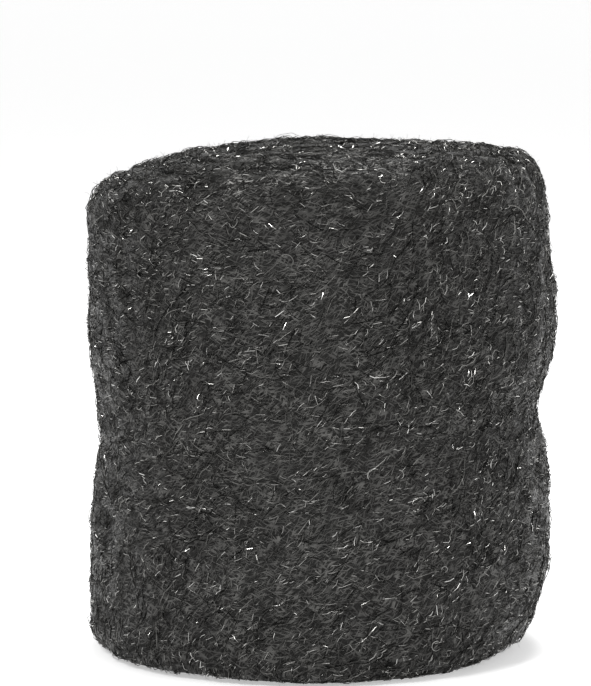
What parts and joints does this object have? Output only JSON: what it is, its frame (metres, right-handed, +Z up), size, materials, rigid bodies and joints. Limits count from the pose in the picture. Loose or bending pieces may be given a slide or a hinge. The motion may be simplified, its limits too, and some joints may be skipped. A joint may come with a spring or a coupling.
{
  "type": "steel wool pad",
  "caption": "Upright soft roll of fine steel wool, wound from one matted ribbon, for smoothing, cleaning and polishing wood and metal by hand.",
  "frame": {"origin": "middle of the flat foot that the roll stands on", "axes": "+Z up along the axis of the winding, -Y towards the front"},
  "size_m": [0.1114, 0.1134, 0.121],
  "materials": {
    "steel_wool": "matted fine steel fibres, dark grey with small bright glints"
  },
  "bodies": {
    "root": {"steel_wool_roll": "steel_wool"}
  },
  "joints": []
}
